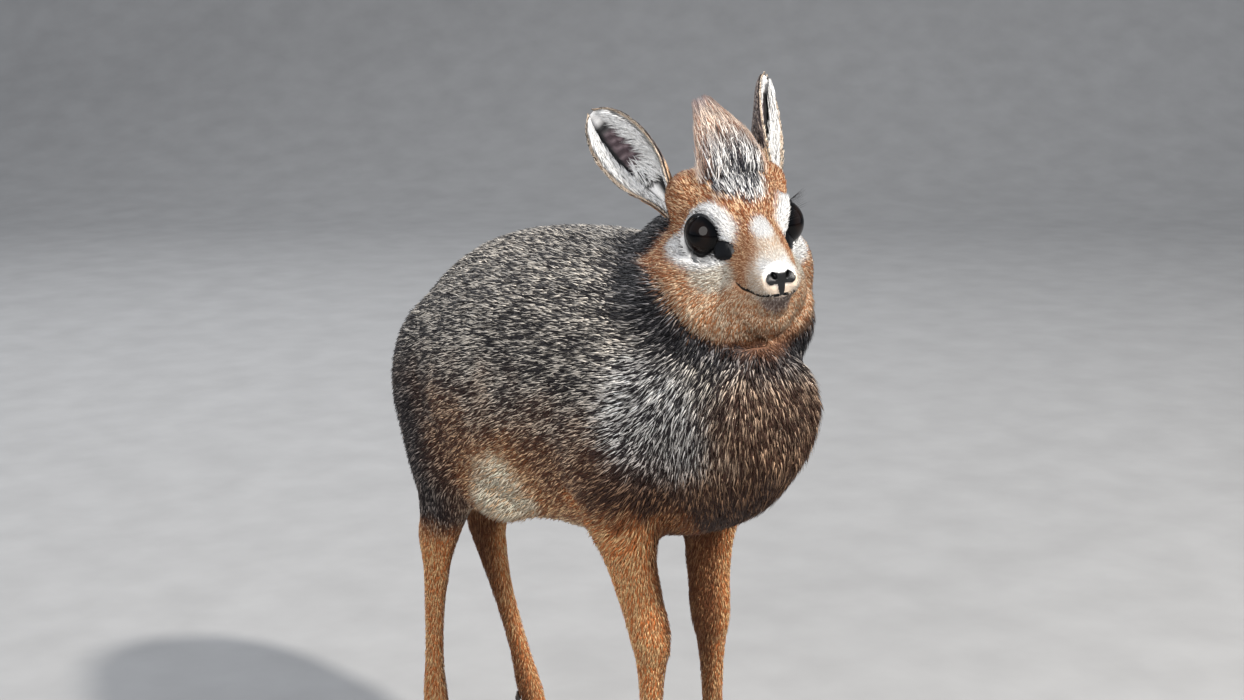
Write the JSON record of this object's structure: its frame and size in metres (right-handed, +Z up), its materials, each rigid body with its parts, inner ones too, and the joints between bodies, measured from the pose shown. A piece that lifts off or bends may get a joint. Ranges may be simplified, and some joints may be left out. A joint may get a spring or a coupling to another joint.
{
  "type": "dik-dik",
  "caption": "Life-size standing dik-dik antelope with its head turned, a grizzled grey back, russet legs, cupped ears and a pointed tuft of hair between them.",
  "frame": {"origin": "on the floor, under the middle of the animal's box", "axes": "+Z up, -Y the way the body faces, +X the animal's left"},
  "size_m": [0.1456, 0.3484, 0.4568],
  "materials": {
    "grizzled_coat": "short coat, salt-and-pepper",
    "russet_coat": "short close coat",
    "pale_coat": "thin pale fur on skin",
    "crest_coat": "long coarse hair",
    "eye": "wet gloss",
    "horn": "dark horn, satin"
  },
  "bodies": {
    "root": {"torso": "grizzled_coat", "neck": "grizzled_coat", "head": "russet_coat", "tail": "grizzled_coat", "crest": "crest_coat", "ear_right": "pale_coat", "ear_left": "pale_coat", "eye_right": "eye", "eye_left": "eye", "foreleg_right_upper": "russet_coat", "foreleg_right_lower": "russet_coat", "foreleg_right_claw_right": "horn", "foreleg_right_dewclaw_right": "horn", "foreleg_right_claw_left": "horn", "foreleg_right_dewclaw_left": "horn", "foreleg_left_upper": "russet_coat", "foreleg_left_lower": "russet_coat", "foreleg_left_claw_right": "horn", "foreleg_left_dewclaw_right": "horn", "foreleg_left_claw_left": "horn", "foreleg_left_dewclaw_left": "horn", "hindleg_right_upper": "russet_coat", "hindleg_right_lower": "russet_coat", "hindleg_right_claw_right": "horn", "hindleg_right_dewclaw_right": "horn", "hindleg_right_claw_left": "horn", "hindleg_right_dewclaw_left": "horn", "hindleg_left_upper": "russet_coat", "hindleg_left_lower": "russet_coat", "hindleg_left_claw_right": "horn", "hindleg_left_dewclaw_right": "horn", "hindleg_left_claw_left": "horn", "hindleg_left_dewclaw_left": "horn"}
  },
  "joints": []
}
